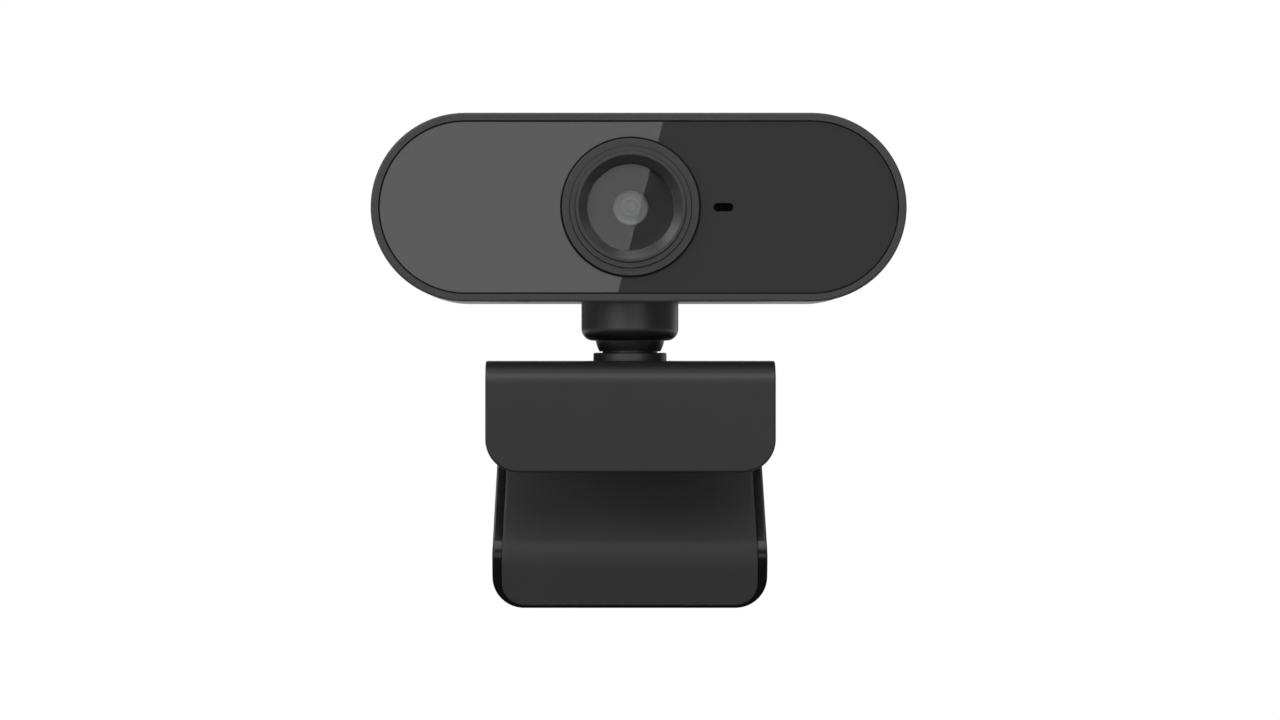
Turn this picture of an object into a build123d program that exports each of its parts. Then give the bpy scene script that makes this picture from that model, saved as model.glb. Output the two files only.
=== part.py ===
from build123d import *
import os
from math import atan2, cos, degrees, hypot, radians, sin, sqrt

# A clip-on USB webcam: a wide capsule-shaped head with a glossy front panel and a stepped
# lens ring, on a ball neck that stands on a folding monitor clip.
#
# Frame: millimetres, +Z up, +X to the right of someone who faces the lens, -Y is the front.
# The origin is on the soft underside of the clip's top plate, where it sits on a screen's
# edge, straight below the neck.

# ---------------------------------------------------------------- driving dimensions
# Head shell
head_width = 80.0
head_height = 28.2
head_depth = 24.5            # rim's front face to the back wall
head_overhang = 13.0         # rim's front face ahead of the neck's axis
head_shift = 1.2             # the shell's middle lies this far to the right of the lens
shell_wall = 1.6
shell_back_radius = 6.0      # rounding round the back
rim_width = 1.15             # raised rim that frames the front panel
rim_edge_radius = 0.35
frame_depth = 4.6            # rim's front face to the joint between the two shells
joint_groove = 0.3           # shadow gap drawn round that joint
groove_depth = 0.35
deck_thickness = 2.2         # plate of the front frame that the panel is stuck to
rib_thickness = 1.0

# Front panel
panel_thickness = 1.5
panel_recess = 0.2           # panel's face behind the rim's front face
panel_gap = 0.1
panel_bevel = 0.15
tape_thickness = 0.2
tape_inset = 0.5
mic_offset = 13.85           # microphone slot to the right of the lens
mic_slot_length = 3.0
mic_slot_height = 1.25

# Fits
press_gap = 0.05             # round a piece that is pushed into its hole
bond_gap = 0.03              # film of glue or air between an optical face and its seat
screw_gap = 0.1              # round a screw's shank or head that passes through a hole
thread_gap = 0.05            # round a screw's shank in its pilot hole
pilot_spare = 0.8            # how far a pilot hole runs past the end of its screw
past = 1.0                   # how far a cutting shape runs past the face that it opens
same = 0.01                  # two places this close are the same place
facing = 0.5                 # a face looks along an axis if its normal has this much of it

# Lens trim, from the outside in: two steps up, a crest, then a funnel down to the glass
trim_lower_ledge = 1.08      # width of the outer ledge
trim_upper_ledge = 0.67      # width of the inner ledge
trim_crest_width = 0.44
trim_step_lean = 0.15        # how far the wall of each step leans outwards
trim_seat_width = 0.74       # how far the trim reaches over the deck round its own sleeve
trim_gap = 0.15              # shadow gap between the trim and the panel
trim_lower_rise = 0.55       # lower ledge above the panel
trim_upper_rise = 0.4        # upper ledge above the lower one
trim_crest_rise = 0.35       # crest above the upper ledge
trim_edge_radius = 0.1
funnel_width = 1.24
funnel_depth = 1.15
glass_radius = 6.52
glass_thickness = 1.0
glass_gap = 0.02
glass_bevel = 0.1
mask_thickness = 0.4
glass_ledge = 0.7            # width of the ledge that the mask and the glass sit on

# Lens and its holder
lens_opening_radius = 2.75
barrel_head_radius = 4.9
barrel_head_length = 2.0
barrel_radius = 4.0
barrel_length = 6.2
barrel_behind_mask = 0.1
focus_gap = 0.3              # left under the barrel's head once it is screwed in to focus
stop_radius = 1.2
stop_thickness = 0.5
baffle_grooves = ((1.55, 1.9), (2.25, 2.45))     # rings cut in the stop against glare
baffle_depth = 0.2
front_element_thickness = 0.9
front_element_dome = 0.45
rear_element_radius = 2.2
rear_element_thickness = 1.5
holder_radius = 5.4
holder_base = 13.0
holder_base_depth = 2.4
holder_wall = 1.0
filter_size = 6.4
filter_thickness = 0.3
filter_ledge = 0.6           # holder's ledge that the filter is glued to
sensor_width = 6.0
sensor_height = 5.0
sensor_thickness = 0.8

# Circuit board and what is on it
board_width = 46.0
board_height = 15.6
board_thickness = 1.2
board_corner = 1.0
board_behind_deck = 5.9      # gap between the deck and the board
chip_size = 7.0
chip_thickness = 0.9
chip_offset = 14.2
crystal_width = 3.2
crystal_height = 2.5
crystal_thickness = 0.8
crystal_rise = 5.0
capacitor = (1.0, 1.8, 0.7)
capacitor_count = 5
capacitor_pitch = 2.0
header_width = 8.0
header_height = 4.6
header_depth = 4.8
header_wall = 0.7
header_floor = 1.2
header_pins = 4
header_pitch = 1.5
header_pin = 0.5
header_offset = 14.8
mic_width = 3.8
mic_height = 3.0
mic_thickness = 1.1
gasket_radius = 2.4
gasket_bore = 0.6
gasket_ring_wall = 0.8
gasket_ring_height = 1.5

# Screws: shank radius, head radius, head height
housing_screw = (1.0, 1.9, 1.2)
housing_screw_length = 9.0
housing_screw_x = 28.0       # from the shell's middle
housing_screw_z = 8.3
board_screw = (0.9, 1.6, 0.9)
board_screw_length = 5.0
board_screw_x = 20.0
board_screw_z = 5.0
holder_screw = (0.7, 1.25, 0.7)
holder_screw_length = 2.9
holder_ear_x = 8.2
holder_ear_radius = 1.7
retainer_screw = (1.0, 1.8, 1.0)
retainer_screw_x = 11.2
boss_wall = 1.3
recess_width = 1.3           # a screw's cross recess: its length and its width as shares
recess_arm = 0.3             # of the head's radius, and its depth as a share of the
recess_depth = 0.5           # head's height

# Cable grommet in the back wall
grommet_drop = 4.0           # below the head's middle
grommet_bore = 1.75
grommet_wall = 1.05
grommet_flange = 0.9         # how far its flanges reach past the hole
grommet_flange_thickness = 1.1

# Ball neck
ball_radius = 5.35
ball_clearance = 0.05
ball_above_mouth = 0.95      # ball's centre above the cup's mouth
ball_top = 4.6               # flat on the ball, above its centre
stem_radius = 4.7
stem_height = 0.05
groove_radius = 4.2
groove_height = 0.2
collar_radius = 5.6
collar_height = 1.4
collar_recess = 0.2          # how deep the collar sits in the top plate
collar_gap = 0.1             # round the collar in that recess
collar_bevel = 0.15
seat_thickness = 0.9
seat_clearance = 0.06
seat_rise = 0.8              # seat's lower edge above the ball's centre
seat_hole_radius = 2.6
pocket_drop = 0.2            # pocket's ledge below the ball's centre
cup_wall = 1.06
cup_exposed = 5.7            # cup's mouth to the head's underside
cup_edge_radius = 1.8
cup_flange_width = 0.7
cup_flange_thickness = 1.2
cup_hole_clearance = 0.05
retainer_thickness = 1.6
retainer_ear_radius = 2.4
retainer_plug_depth = 3.3

# Swivel: the stud turns in the top plate, held by a washer and a screw from below
swivel_gap = 0.05
spindle_radius = 2.6
washer_radius = 4.5
washer_thickness = 0.5
washer_gap = 0.3
stud_screw = (1.5, 2.75, 1.4)
stud_screw_length = 7.0

# Clip bracket: top plate with a front lip, and a hinge barrel at its back
clip_width = 43.5
plate_thickness = 3.8
plate_back = 10.6            # back edge of the full-width plate, behind the neck's axis
plate_corner = 2.0
lip_front = 11.5             # lip's front face ahead of the neck's axis
lip_thickness = 2.2
lip_drop = 16.7              # plate's top face to the lip's lower edge
lip_corner = 4.9
lip_bend_radius = 3.3
lip_inner_radius = 0.8
lip_edge_radius = 0.3
pad_thickness = 0.8
pad_corner = 1.5
top_pad_width = 38.0
top_pad_back = 9.0
lip_pad_width = 37.0
lip_pad_height = 9.0
lip_pad_inset = 1.6          # lip pad's lower edge above the lip's
pad_gap = 0.2                # between the top pad and the lip pad
barrel_hinge_radius = 2.9
hinge_back = 15.5            # hinge pin behind the neck's axis
pin_radius = 1.25
pin_clearance = 0.05
pin_recess = 0.3
pin_bevel = 0.2

# Clip leg: an arm with a knee that points forward, and a foot that leans back
leg_top_width = 40.0
leg_knee_width = 42.25
leg_thickness = 3.2
knee_forward = 13.3          # knee ahead of the hinge pin
knee_drop = 27.0             # knee below the hinge pin
foot_lean = 22.0             # degrees from upright
foot_drop = 8.17             # leg's lower edge below the knee
knee_bend = 4.0              # bend radius at the middle of the thickness
leg_corner = 4.85
leg_edge_radius = 0.3
ear_thickness = 2.8
ear_gap = 0.2
ear_reach = 7.0
arm_clearance = 0.5          # arm's end off the hinge barrel
leg_rim = 1.45
leg_bottom_rim = 0.45
leg_pad_depth = 1.4
leg_pad_proud = 0.3
leg_pad_gap = 0.05
leg_pad_start = 6.0          # along the arm from the hinge pin

# ---------------------------------------------------------------- places worked out
plate_underside = pad_thickness
plate_top = plate_underside + plate_thickness
collar_bottom = plate_top - collar_recess + swivel_gap
collar_top = collar_bottom + collar_height
stem_bottom = collar_top + groove_height
stem_top = stem_bottom + stem_height
ball_z = stem_top + sqrt(ball_radius**2 - stem_radius**2)
seat_bore = ball_radius + ball_clearance
seat_radius = seat_bore + seat_thickness
pocket_radius = seat_radius + seat_clearance
cup_radius = pocket_radius + cup_wall
cup_bottom = ball_z - ball_above_mouth

head_bottom = cup_bottom + cup_exposed
head_z = head_bottom + head_height / 2
floor_top = head_bottom + shell_wall
cup_flange_top = floor_top + cup_flange_thickness
cup_flange_radius = cup_radius + cup_flange_width
retainer_top = cup_flange_top + retainer_thickness

rim_y = -head_overhang
back_y = rim_y + head_depth
split_y = rim_y + frame_depth
panel_y = rim_y + panel_recess
tape_y = panel_y + panel_thickness
deck_y = tape_y + tape_thickness
deck_back_y = deck_y + deck_thickness
housing_screw_seat = deck_y + housing_screw[2] + press_gap
board_y = deck_back_y + board_behind_deck
board_back_y = board_y + board_thickness
wall_y = back_y - shell_wall

funnel_radius = glass_radius + funnel_width
crest_radius = funnel_radius + trim_crest_width
trim_upper_step_radius = crest_radius + trim_step_lean
trim_middle_radius = trim_upper_step_radius + trim_upper_ledge
trim_lower_step_radius = trim_middle_radius + trim_step_lean
trim_radius = trim_lower_step_radius + trim_lower_ledge
sleeve_radius = trim_radius - trim_seat_width
sleeve_bore = glass_radius - glass_ledge
trim_lower_y = panel_y - trim_lower_rise
trim_upper_y = trim_lower_y - trim_upper_rise
crest_y = trim_upper_y - trim_crest_rise
glass_y = crest_y + funnel_depth
mask_y = glass_y + glass_thickness + bond_gap
mask_back_y = mask_y + mask_thickness
barrel_y = mask_back_y + barrel_behind_mask
barrel_back_y = barrel_y + barrel_length
holder_base_y = board_y - holder_base_depth
filter_y = holder_base_y + holder_wall
stop_y = barrel_y + front_element_thickness + front_element_dome + press_gap

lip_y = -lip_front
lip_back_y = lip_y + lip_thickness
lip_bottom = plate_top - lip_drop
hinge_z = plate_top - barrel_hinge_radius
knee_y = hinge_back - knee_forward
knee_z = hinge_z - knee_drop
leg_bottom = knee_z - foot_drop
ear_outer = leg_top_width / 2
ear_inner = ear_outer - ear_thickness
barrel_half = ear_inner - ear_gap


# ---------------------------------------------------------------- helpers
def slab(outline, front, back):
    """An outline drawn in the XZ plane, as a solid from y = front to y = back."""
    plane = Plane(origin=(0, back, 0), x_dir=(1, 0, 0), z_dir=(0, -1, 0))
    return extrude(plane * outline, amount=back - front)


def layer(outline, low, high):
    """An outline drawn in the XY plane, as a solid from z = low to z = high."""
    return extrude(Plane.XY.offset(low) * outline, amount=high - low)


def lens_turning(points):
    """A solid of revolution about the lens's axis from (radius, y) points."""
    profile = Plane.XY.offset(head_z) * make_face(Polyline(*points, close=True))
    return revolve(profile, Axis((0, 0, head_z), (0, 1, 0)), 360)


def neck_turning(points):
    """A solid of revolution about the neck's axis from (radius, z) points."""
    return revolve(Plane.XZ * make_face(Polyline(*points, close=True)), Axis.Z, 360)


def screw_along_y(size, x, z, seat, length, towards):
    """A pan-head screw: its head's seat at y = seat, its shank towards +1 or -1 along Y."""
    shank, head, height = size
    tip, top = seat + towards * length, seat - towards * height
    body = slab(Pos(x, z) * Circle(shank), min(seat, tip), max(seat, tip))
    cap = slab(Pos(x, z) * Circle(head), min(seat, top), max(seat, top))
    return body + cap - cross_slot(x, z, top, towards, head, height)


def cross_slot(x, z, top, towards, head, height):
    """The cross recess in a screw's head, cut from its outer face."""
    end = top + towards * recess_depth * height
    return slab(Pos(x, z) * cross(head), min(top, end), max(top, end))


def cross(head):
    """The outline of a cross recess for a screw's head of a given radius."""
    length, width = recess_width * head, recess_arm * head
    return Rectangle(length, width) + Rectangle(width, length)


def shell_outline(inset):
    """The head's capsule outline, moved in by an inset."""
    size = (head_width - 2 * inset, head_height - 2 * inset)
    return Pos(head_shift, head_z) * SlotOverall(*size)


def housing_screw_places():
    """The four screws that hold the shells together."""
    return [
        (head_shift + side * housing_screw_x, head_z + level * housing_screw_z)
        for side in (-1, 1)
        for level in (-1, 1)
    ]


def board_screw_places():
    """The two screws that hold the board."""
    return [(side * board_screw_x, head_z + side * board_screw_z) for side in (-1, 1)]


def holder_screw_places():
    """The two screws that hold the lens holder."""
    return [(side * holder_ear_x, head_z) for side in (-1, 1)]


def mic_slot():
    return Pos(mic_offset, head_z) * SlotOverall(mic_slot_length, mic_slot_height)


def save(name, shape):
    """One STEP file for one named sub-part."""
    solids = shape.solids()
    whole = solids[0] if len(solids) == 1 else Compound(children=list(solids))
    export_step(whole, f"parts/{name}.step")


# ---------------------------------------------------------------- head shells
def front_frame():
    """The rim round the panel, the deck behind it, and the board's standoffs."""
    body = slab(shell_outline(0), rim_y, split_y)
    body = fillet(body.faces().sort_by(Axis.Y)[0].edges(), rim_edge_radius)
    body -= slab(shell_outline(rim_width), rim_y - past, deck_y)
    body -= slab(shell_outline(shell_wall), deck_back_y, split_y + past)
    body -= slab(
        shell_outline(-1) - shell_outline(groove_depth), split_y - joint_groove, split_y
    )
    body += gasket_ring()
    for x, z in board_screw_places():
        body += slab(Pos(x, z) * Circle(board_screw[0] + boss_wall), deck_back_y, board_y)
    body -= slab(Pos(0, head_z) * Circle(sleeve_radius + press_gap), rim_y, board_y)
    body -= slab(mic_slot(), rim_y, board_y)
    shank, head, height = housing_screw
    for x, z in housing_screw_places():
        body -= slab(Pos(x, z) * Circle(shank + screw_gap), rim_y, board_y)
        body -= slab(Pos(x, z) * Circle(head + screw_gap), rim_y, housing_screw_seat)
    for x, z in board_screw_places():
        depth = board_screw_length - board_thickness + pilot_spare
        pilot = Pos(x, z) * Circle(board_screw[0] + thread_gap)
        body -= slab(pilot, board_y - depth, board_y)
    return body


def gasket_ring():
    """The short ring behind the deck that holds the microphone's gasket."""
    bore = gasket_radius + press_gap
    ring = Circle(bore + gasket_ring_wall) - Circle(bore)
    return slab(Pos(mic_offset, head_z) * ring, deck_back_y, deck_back_y + gasket_ring_height)


def rear_housing():
    """The back shell, with screw bosses, ribs, the neck's hole and the cable's hole."""
    body = slab(shell_outline(0), split_y, back_y)
    body = fillet(body.faces().sort_by(Axis.Y)[-1].edges(), shell_back_radius)
    hollow = slab(shell_outline(shell_wall), split_y - past, wall_y)
    inner_radius = shell_back_radius - shell_wall
    hollow = fillet(hollow.faces().sort_by(Axis.Y)[-1].edges(), inner_radius)
    body -= hollow
    boss_radius = housing_screw[0] + boss_wall
    for x, z in housing_screw_places():
        reach = head_height / 2 - housing_screw_z
        outward = 1 if z > head_z else -1
        rib = Pos(x, z + outward * reach / 2) * Rectangle(rib_thickness, reach)
        inside = slab(shell_outline(shell_wall / 2), split_y, wall_y)
        web = slab(rib, deck_back_y, wall_y) & inside
        body += web & slab(shell_outline(0), split_y, back_y - shell_back_radius)
        body += slab(Pos(x, z) * Circle(boss_radius), deck_back_y, back_y - shell_wall / 2)
    for x, z in housing_screw_places():
        depth = housing_screw_length + pilot_spare
        pilot = Pos(x, z) * Circle(housing_screw[0] + thread_gap)
        body -= slab(pilot, deck_back_y - past, housing_screw_seat + depth)
    for side in (-1, 1):
        boss = Pos(side * retainer_screw_x, 0) * Circle(retainer_screw[0] + boss_wall)
        body += layer(boss, floor_top - shell_wall / 2, cup_flange_top)
        pilot = Pos(side * retainer_screw_x, 0) * Circle(retainer_screw[0] + thread_gap)
        body -= layer(pilot, floor_top - shell_wall / 2, cup_flange_top + past)
    body -= layer(Circle(cup_radius + cup_hole_clearance), head_bottom - past, cup_flange_top)
    body -= layer(Circle(cup_flange_radius + cup_hole_clearance), floor_top, retainer_top)
    body -= slab(grommet_place() * Circle(grommet_bore + grommet_wall), wall_y - past, back_y + past)
    return body


def grommet_place():
    return Pos(0, head_z - grommet_drop)


def cable_grommet():
    """A rubber bush with a flange each side of the back wall."""
    hole = grommet_bore + grommet_wall
    flange = hole + grommet_flange
    outside = back_y + grommet_flange_thickness
    body = slab(grommet_place() * Circle(hole), wall_y, back_y)
    outer = slab(grommet_place() * Circle(flange), back_y, outside)
    body += fillet(outer.faces().sort_by(Axis.Y)[-1].edges(), grommet_flange_thickness / 2)
    inside = wall_y - grommet_flange_thickness
    body += slab(grommet_place() * Circle(flange), inside, wall_y)
    bore = slab(grommet_place() * Circle(grommet_bore), inside - past, outside + past)
    return body - bore


def front_panel():
    """The glossy capsule plate, with the lens hole and the microphone's slot."""
    outline = shell_outline(rim_width + panel_gap)
    body = slab(outline - Pos(0, head_z) * Circle(trim_radius + trim_gap), panel_y, tape_y)
    body = chamfer(body.faces().sort_by(Axis.Y)[0].edges(), panel_bevel)
    return body - slab(mic_slot(), rim_y, deck_y)


def panel_tape():
    """The sheet of adhesive that holds the panel to the deck."""
    sheet = shell_outline(rim_width + panel_gap + tape_inset)
    sheet -= Pos(0, head_z) * Circle(trim_radius + trim_gap + tape_inset)
    sheet -= mic_slot()
    return slab(sheet, tape_y, deck_y)


def housing_screws():
    seat, length = housing_screw_seat, housing_screw_length
    places = housing_screw_places()
    screws = [screw_along_y(housing_screw, x, z, seat, length, 1) for x, z in places]
    return Compound(children=[s.solid() for s in screws])


# ---------------------------------------------------------------- lens
def lens_trim_ring():
    """The stepped ring that sits on the deck in the panel's hole, with its funnel and pocket."""
    pocket = glass_radius + glass_gap
    points = [
        (trim_radius, deck_y),
        (trim_radius, trim_lower_y),
        (trim_lower_step_radius, trim_lower_y),
        (trim_middle_radius, trim_upper_y),
        (trim_upper_step_radius, trim_upper_y),
        (crest_radius, crest_y),
        (funnel_radius, crest_y),
        (pocket, glass_y),
        (pocket, mask_back_y),
        (sleeve_bore, mask_back_y),
        (sleeve_bore, deck_back_y),
        (sleeve_radius, deck_back_y),
        (sleeve_radius, deck_y),
    ]
    ring = lens_turning(points)
    circles = ring.edges().filter_by(GeomType.CIRCLE)
    rounded = circles.filter_by(lambda e: abs(e.arc_center.Y - crest_y) < same)
    rounded += circles.filter_by(
        lambda e: abs(e.arc_center.Y - trim_lower_y) + abs(e.radius - trim_radius) < same
    )
    return fillet(rounded, trim_edge_radius)


def lens_cover_glass():
    disc = slab(Pos(0, head_z) * Circle(glass_radius), glass_y, glass_y + glass_thickness)
    return chamfer(disc.faces().sort_by(Axis.Y)[0].edges(), glass_bevel)


def lens_mask():
    """The black ring behind the glass that hides all but the lens."""
    return slab(
        Pos(0, head_z) * (Circle(glass_radius) - Circle(lens_opening_radius)), mask_y, mask_back_y
    )


def lens_barrel():
    """The threaded barrel, its front bore, its grooved stop and its rear bore."""
    rear_bore = rear_element_radius + press_gap
    barrel = lens_turning([
        (lens_opening_radius, barrel_y),
        (barrel_head_radius, barrel_y),
        (barrel_head_radius, barrel_y + barrel_head_length),
        (barrel_radius, barrel_y + barrel_head_length),
        (barrel_radius, barrel_back_y),
        (rear_bore, barrel_back_y),
        (rear_bore, stop_y + stop_thickness),
        (stop_radius, stop_y + stop_thickness),
        (stop_radius, stop_y),
        (lens_opening_radius, stop_y),
    ])
    for inner, outer in baffle_grooves:
        groove = Pos(0, head_z) * (Circle(outer) - Circle(inner))
        barrel -= slab(groove, stop_y - press_gap, stop_y + baffle_depth)
    return barrel


def front_lens_element():
    """A plano-convex lens in the front bore, its flat face towards the glass."""
    radius = lens_opening_radius - press_gap
    apex = stop_y - bond_gap
    dome_radius = (radius**2 + front_element_dome**2) / (2 * front_element_dome)
    disc = slab(Pos(0, head_z) * Circle(radius), barrel_y + press_gap, stop_y)
    return disc & Pos(0, apex - dome_radius, head_z) * Sphere(dome_radius)


def rear_lens_element():
    front = stop_y + stop_thickness + bond_gap
    place = Pos(0, head_z) * Circle(rear_element_radius)
    return slab(place, front, front + rear_element_thickness)


def lens_holder():
    """The square foot on the board and the collar that the barrel screws into."""
    collar_front = barrel_y + barrel_head_length + focus_gap
    foot = Pos(0, head_z) * RectangleRounded(holder_base, holder_base, board_corner)
    for x, z in holder_screw_places():
        foot += Pos(x, z) * Circle(holder_ear_radius)
        foot += Pos(x / 2, z) * Rectangle(abs(x), 2 * holder_ear_radius)
    body = slab(foot, holder_base_y, board_y)
    body += slab(Pos(0, head_z) * Circle(holder_radius), collar_front, holder_base_y)
    bore = Pos(0, head_z) * Circle(barrel_radius + thread_gap)
    body -= slab(bore, collar_front - past, barrel_back_y + press_gap)
    window = Pos(0, head_z) * Circle(filter_size / 2 - filter_ledge)
    body -= slab(window, collar_front, board_y)
    hollow = Pos(0, head_z) * Rectangle(holder_base - 2 * holder_wall, holder_base - 2 * holder_wall)
    body -= slab(hollow, filter_y, board_y)
    for x, z in holder_screw_places():
        pilot = Pos(x, z) * Circle(holder_screw[0] + thread_gap)
        body -= slab(pilot, holder_base_y, board_y)
    return body


def infrared_filter():
    size = Pos(0, head_z) * Rectangle(filter_size, filter_size)
    return slab(size, filter_y, filter_y + filter_thickness)


def image_sensor():
    size = Pos(0, head_z) * Rectangle(sensor_width, sensor_height)
    return slab(size, board_y - sensor_thickness, board_y)


# ---------------------------------------------------------------- board
def main_board():
    outline = Pos(0, head_z) * RectangleRounded(board_width, board_height, board_corner)
    for x, z in board_screw_places():
        outline -= Pos(x, z) * Circle(board_screw[0] + screw_gap)
    for x, z in holder_screw_places():
        outline -= Pos(x, z) * Circle(holder_screw[0] + screw_gap)
    return slab(outline, board_y, board_back_y)


def usb_controller_chip():
    size = Pos(chip_offset, head_z) * Rectangle(chip_size, chip_size)
    return slab(size, board_back_y, board_back_y + chip_thickness)


def board_parts():
    """A crystal and a row of small capacitors on the back of the board."""
    can = RectangleRounded(crystal_width, crystal_height, crystal_height / 6)
    crystal = Pos(chip_offset - chip_size, head_z + crystal_rise) * can
    parts = [slab(crystal, board_back_y, board_back_y + crystal_thickness)]
    width, height, thickness = capacitor
    below_chip = head_z - chip_size / 2 - height
    for column in range(capacitor_count):
        across_row = capacitor_pitch * (column - (capacitor_count - 1) / 2)
        place = Pos(chip_offset + across_row, below_chip)
        parts.append(slab(place * Rectangle(width, height), board_back_y, board_back_y + thickness))
    return Compound(children=[p.solid() for p in parts])


def usb_header():
    """The socket that the lead plugs into on the back of the board, open to the back."""
    place = Pos(-header_offset, head_z)
    back = board_back_y + header_depth
    body = slab(place * Rectangle(header_width, header_height), board_back_y, back)
    mouth = Rectangle(header_width - 2 * header_wall, header_height - 2 * header_wall)
    body -= slab(place * mouth, board_back_y + header_floor, back + past)
    for pin in range(header_pins):
        across_header = header_pitch * (pin - (header_pins - 1) / 2)
        contact = place * Pos(across_header, 0) * Rectangle(header_pin, header_pin)
        body += slab(contact, board_back_y, back - header_wall)
    return body


def microphone():
    size = Pos(mic_offset, head_z) * Rectangle(mic_width, mic_height)
    return slab(size, board_y - mic_thickness, board_y)


def mic_gasket():
    """The rubber tube that leads sound from the slot to the microphone."""
    tube = Circle(gasket_radius) - Circle(gasket_bore)
    return slab(Pos(mic_offset, head_z) * tube, deck_back_y, board_y - mic_thickness)


def board_screws():
    places = board_screw_places()
    screws = [
        screw_along_y(board_screw, x, z, board_back_y, board_screw_length, -1) for x, z in places
    ]
    return Compound(children=[s.solid() for s in screws])


def lens_holder_screws():
    places = holder_screw_places()
    screws = [
        screw_along_y(holder_screw, x, z, board_back_y, holder_screw_length, -1) for x, z in places
    ]
    return Compound(children=[s.solid() for s in screws])


# ---------------------------------------------------------------- neck
def neck_cup():
    """The round cup under the head: a snap mouth for the ball and a pocket for its seat."""
    body = layer(Circle(cup_radius), cup_bottom, floor_top)
    body = fillet(body.faces().sort_by(Axis.Z)[0].edges(), cup_edge_radius)
    body += layer(Circle(cup_flange_radius), floor_top, cup_flange_top)
    body -= layer(Circle(pocket_radius), ball_z, cup_flange_top + past)
    above_ledge = layer(Circle(cup_radius), ball_z - pocket_drop, cup_flange_top)
    body -= Pos(0, 0, ball_z) * Sphere(pocket_radius) & above_ledge
    return body - Pos(0, 0, ball_z) * Sphere(seat_bore)


def neck_retainer():
    """The plate that closes the cup from inside the head and bears on the ball's seat."""
    bar = Circle(cup_flange_radius)
    bar += Rectangle(2 * retainer_screw_x, 2 * retainer_ear_radius)
    for side in (-1, 1):
        bar += Pos(side * retainer_screw_x, 0) * Circle(retainer_ear_radius)
    body = layer(bar, cup_flange_top, retainer_top)
    plug = Circle(pocket_radius - press_gap)
    body += layer(plug, cup_flange_top - retainer_plug_depth, cup_flange_top)
    body -= Pos(0, 0, ball_z) * Sphere(pocket_radius)
    for side in (-1, 1):
        hole = Pos(side * retainer_screw_x, 0) * Circle(retainer_screw[0] + screw_gap)
        body -= layer(hole, cup_flange_top - past, retainer_top + past)
    return body


def retainer_screws():
    shank, head, height = retainer_screw
    tip = floor_top - shell_wall / 2
    screws = []
    for side in (-1, 1):
        place = Pos(side * retainer_screw_x, 0)
        body = layer(place * Circle(shank), tip, retainer_top)
        body += layer(place * Circle(head), retainer_top, retainer_top + height)
        top = retainer_top + height
        body -= layer(place * cross(head), top - recess_depth * height, top)
        screws.append(body.solid())
    return Compound(children=screws)


def ball_seat():
    """The slippery bowl between the ball's upper half and the cup."""
    shell = Sphere(seat_radius) - Sphere(seat_bore)
    keep = Pos(0, 0, seat_rise) * Cylinder(
        2 * seat_radius, 2 * seat_radius, align=(Align.CENTER, Align.CENTER, Align.MIN)
    )
    keep -= Cylinder(seat_hole_radius, 4 * seat_radius)
    return Pos(0, 0, ball_z) * (shell & keep)


def ball_stud():
    """The ball, its stem, the collar on the plate and the spindle that turns in it."""
    spindle_bottom = plate_top - plate_shelf() - swivel_gap
    body = layer(Circle(spindle_radius), spindle_bottom, collar_bottom)
    collar = layer(Circle(collar_radius), collar_bottom, collar_top)
    body += chamfer(collar.edges().filter_by(GeomType.CIRCLE), collar_bevel)
    body += layer(Circle(groove_radius), collar_top, stem_bottom)
    body += layer(Circle(stem_radius), stem_bottom, stem_top)
    ball = Sphere(ball_radius)
    ball_slice = layer(Circle(2 * ball_radius), stem_top - ball_z, ball_top)
    body += Pos(0, 0, ball_z) * (ball & ball_slice)
    depth = stud_screw_length - washer_thickness + pilot_spare
    pilot = Circle(stud_screw[0] + thread_gap)
    return body - layer(pilot, spindle_bottom, spindle_bottom + depth)


def plate_shelf():
    """What is left of the top plate above the recess for the washer and the screw."""
    recess = swivel_gap + washer_thickness + stud_screw[2] + pad_gap
    return plate_thickness - recess


def swivel_washer():
    top = plate_top - plate_shelf() - swivel_gap
    ring = Circle(washer_radius) - Circle(stud_screw[0] + thread_gap)
    return layer(ring, top - washer_thickness, top)


def stud_screw_solid():
    shank, head, height = stud_screw
    seat = plate_top - plate_shelf() - swivel_gap - washer_thickness
    body = layer(Circle(shank), seat, seat + stud_screw_length)
    body += layer(Circle(head), seat - height, seat)
    bottom = seat - height
    return body - layer(cross(head), bottom, bottom + recess_depth * height)


# ---------------------------------------------------------------- clip
def across(face, half_width):
    """A face drawn in the YZ plane, as a solid across the clip."""
    return extrude(Plane.YZ * face, amount=half_width, both=True)


def edges_along(body, axis, **near):
    """Edges parallel to an axis whose middle has the given coordinates."""
    found = []
    for e in body.edges().filter_by(axis):
        middle = e.center()
        if all(abs(getattr(middle, k) - v) < same for k, v in near.items()):
            found.append(e)
    return found


def rim_of(faces):
    """The edges round a patch of faces: those that only one face of the patch has."""
    edges = [edge for face in faces for edge in face.edges()]
    places = [tuple(round(value, 3) for value in edge.center()) for edge in edges]
    return [edge for edge, place in zip(edges, places) if places.count(place) == 1]


def outer_skin(body):
    """The lip's front face, the bend and the top plate's upper face."""
    front = body.faces().filter_by(Axis.Y).sort_by(Axis.Y)[0]
    top = body.faces().filter_by(Axis.Z).sort_by(Axis.Z)[-1]
    round_faces = body.faces().filter_by(GeomType.CYLINDER)
    bend = [face for face in round_faces if abs(face.radius - lip_bend_radius) < same]
    return [front, top] + bend


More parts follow.
